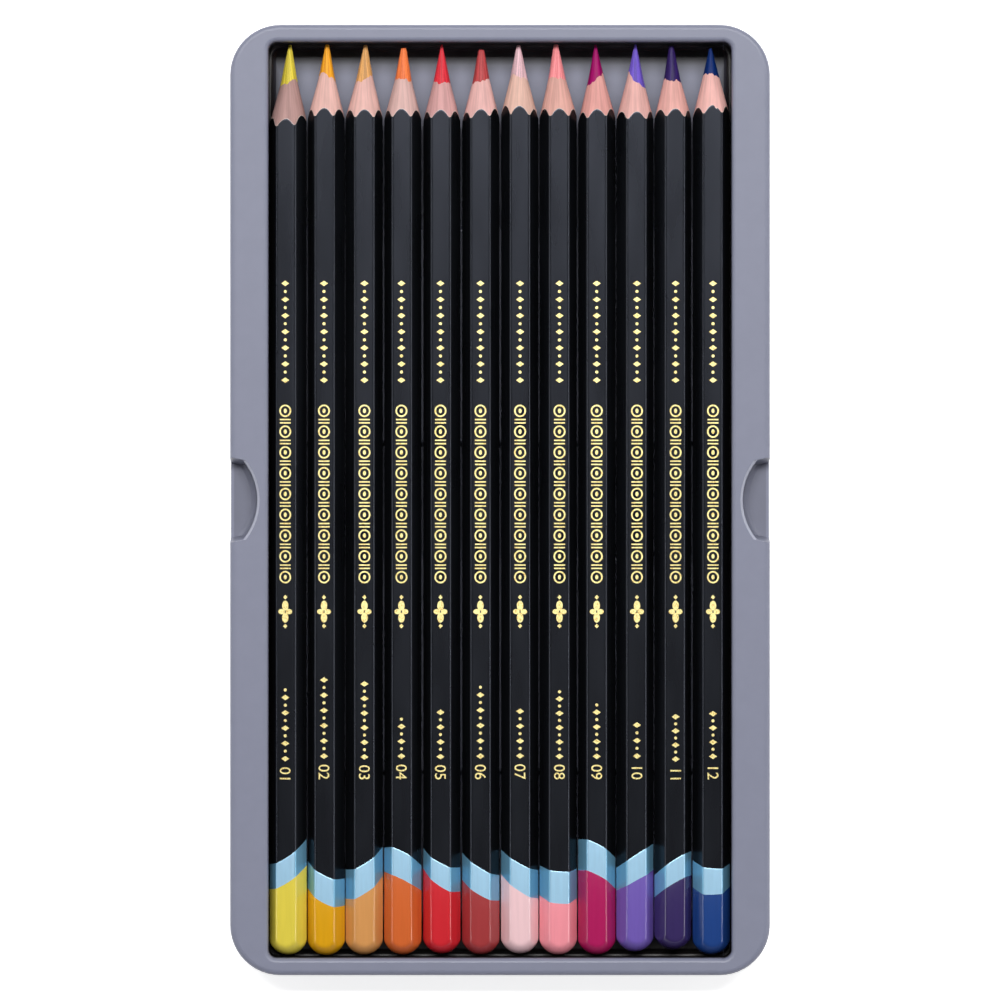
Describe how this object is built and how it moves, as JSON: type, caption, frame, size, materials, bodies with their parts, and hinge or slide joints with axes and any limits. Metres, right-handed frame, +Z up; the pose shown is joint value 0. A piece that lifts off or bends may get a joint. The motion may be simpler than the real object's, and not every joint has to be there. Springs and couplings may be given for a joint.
{
  "type": "colored pencil tin tray",
  "caption": "Formed insert tray of a colored pencil tin, with a row of sharpened hexagonal pencils that lift out and finger scoops in its side rims.",
  "frame": {"origin": "centre of the tray's underside, where it rests", "axes": "+Y along the pencils towards their points, +Z up out of the tray, +X to the right with the points ahead"},
  "size_m": [0.103, 0.1814, 0.0102],
  "materials": {
    "tray_plastic": "matte grey-blue formed sheet with a fine grain",
    "cedar": "freshly cut pinkish cedar",
    "black_lacquer": "semi-gloss black lacquer",
    "band_blue": "glossy pale blue paint",
    "gold_foil": "thin stamped gold foil",
    "yellow_core": "waxy yellow pencil core, turned by the sharpener",
    "yellow_dip": "glossy yellow dip paint",
    "amber_core": "waxy amber pencil core, turned by the sharpener",
    "amber_dip": "glossy amber dip paint",
    "ochre_core": "waxy ochre pencil core, turned by the sharpener",
    "ochre_dip": "glossy ochre dip paint",
    "orange_core": "waxy orange pencil core, turned by the sharpener",
    "orange_dip": "glossy orange dip paint",
    "red_core": "waxy red pencil core, turned by the sharpener",
    "red_dip": "glossy red dip paint",
    "brick_core": "waxy brick pencil core, turned by the sharpener",
    "brick_dip": "glossy brick dip paint",
    "pale_pink_core": "waxy pale pink pencil core, turned by the sharpener",
    "pale_pink_dip": "glossy pale pink dip paint",
    "rose_core": "waxy rose pencil core, turned by the sharpener",
    "rose_dip": "glossy rose dip paint",
    "plum_core": "waxy plum pencil core, turned by the sharpener",
    "plum_dip": "glossy plum dip paint",
    "lavender_core": "waxy lavender pencil core, turned by the sharpener",
    "lavender_dip": "glossy lavender dip paint",
    "indigo_core": "waxy indigo pencil core, turned by the sharpener",
    "indigo_dip": "glossy indigo dip paint",
    "navy_core": "waxy navy pencil core, turned by the sharpener",
    "navy_dip": "glossy navy dip paint"
  },
  "bodies": {
    "tray": {"tray": "tray_plastic"},
    "yellow_pencil": {"yellow_core": "yellow_core", "yellow_casing": "cedar", "yellow_lacquer": "black_lacquer", "yellow_dipped_end": "yellow_dip"},
    "amber_pencil": {"amber_core": "amber_core", "amber_casing": "cedar", "amber_lacquer": "black_lacquer", "amber_dipped_end": "amber_dip"},
    "ochre_pencil": {"ochre_core": "ochre_core", "ochre_casing": "cedar", "ochre_lacquer": "black_lacquer", "ochre_dipped_end": "ochre_dip"},
    "orange_pencil": {"orange_core": "orange_core", "orange_casing": "cedar", "orange_lacquer": "black_lacquer", "orange_dipped_end": "orange_dip"},
    "red_pencil": {"red_core": "red_core", "red_casing": "cedar", "red_lacquer": "black_lacquer", "red_dipped_end": "red_dip"},
    "brick_pencil": {"brick_core": "brick_core", "brick_casing": "cedar", "brick_lacquer": "black_lacquer", "brick_dipped_end": "brick_dip"},
    "pale_pink_pencil": {"pale_pink_core": "pale_pink_core", "pale_pink_casing": "cedar", "pale_pink_lacquer": "black_lacquer", "pale_pink_dipped_end": "pale_pink_dip"},
    "rose_pencil": {"rose_core": "rose_core", "rose_casing": "cedar", "rose_lacquer": "black_lacquer", "rose_dipped_end": "rose_dip"},
    "plum_pencil": {"plum_core": "plum_core", "plum_casing": "cedar", "plum_lacquer": "black_lacquer", "plum_dipped_end": "plum_dip"},
    "lavender_pencil": {"lavender_core": "lavender_core", "lavender_casing": "cedar", "lavender_lacquer": "black_lacquer", "lavender_dipped_end": "lavender_dip"},
    "indigo_pencil": {"indigo_core": "indigo_core", "indigo_casing": "cedar", "indigo_lacquer": "black_lacquer", "indigo_dipped_end": "indigo_dip"},
    "navy_pencil": {"navy_core": "navy_core", "navy_casing": "cedar", "navy_lacquer": "black_lacquer", "navy_dipped_end": "navy_dip"}
  },
  "joints": [
    {"name": "yellow_lift", "type": "slide", "parent": "tray", "child": "yellow_pencil", "axis": [0, 0, 1], "range_m": [0, 0.03]},
    {"name": "amber_lift", "type": "slide", "parent": "tray", "child": "amber_pencil", "axis": [0, 0, 1], "range_m": [0, 0.03]},
    {"name": "ochre_lift", "type": "slide", "parent": "tray", "child": "ochre_pencil", "axis": [0, 0, 1], "range_m": [0, 0.03]},
    {"name": "orange_lift", "type": "slide", "parent": "tray", "child": "orange_pencil", "axis": [0, 0, 1], "range_m": [0, 0.03]},
    {"name": "red_lift", "type": "slide", "parent": "tray", "child": "red_pencil", "axis": [0, 0, 1], "range_m": [0, 0.03]},
    {"name": "brick_lift", "type": "slide", "parent": "tray", "child": "brick_pencil", "axis": [0, 0, 1], "range_m": [0, 0.03]},
    {"name": "pale_pink_lift", "type": "slide", "parent": "tray", "child": "pale_pink_pencil", "axis": [0, 0, 1], "range_m": [0, 0.03]},
    {"name": "rose_lift", "type": "slide", "parent": "tray", "child": "rose_pencil", "axis": [0, 0, 1], "range_m": [0, 0.03]},
    {"name": "plum_lift", "type": "slide", "parent": "tray", "child": "plum_pencil", "axis": [0, 0, 1], "range_m": [0, 0.03]},
    {"name": "lavender_lift", "type": "slide", "parent": "tray", "child": "lavender_pencil", "axis": [0, 0, 1], "range_m": [0, 0.03]},
    {"name": "indigo_lift", "type": "slide", "parent": "tray", "child": "indigo_pencil", "axis": [0, 0, 1], "range_m": [0, 0.03]},
    {"name": "navy_lift", "type": "slide", "parent": "tray", "child": "navy_pencil", "axis": [0, 0, 1], "range_m": [0, 0.03]}
  ]
}
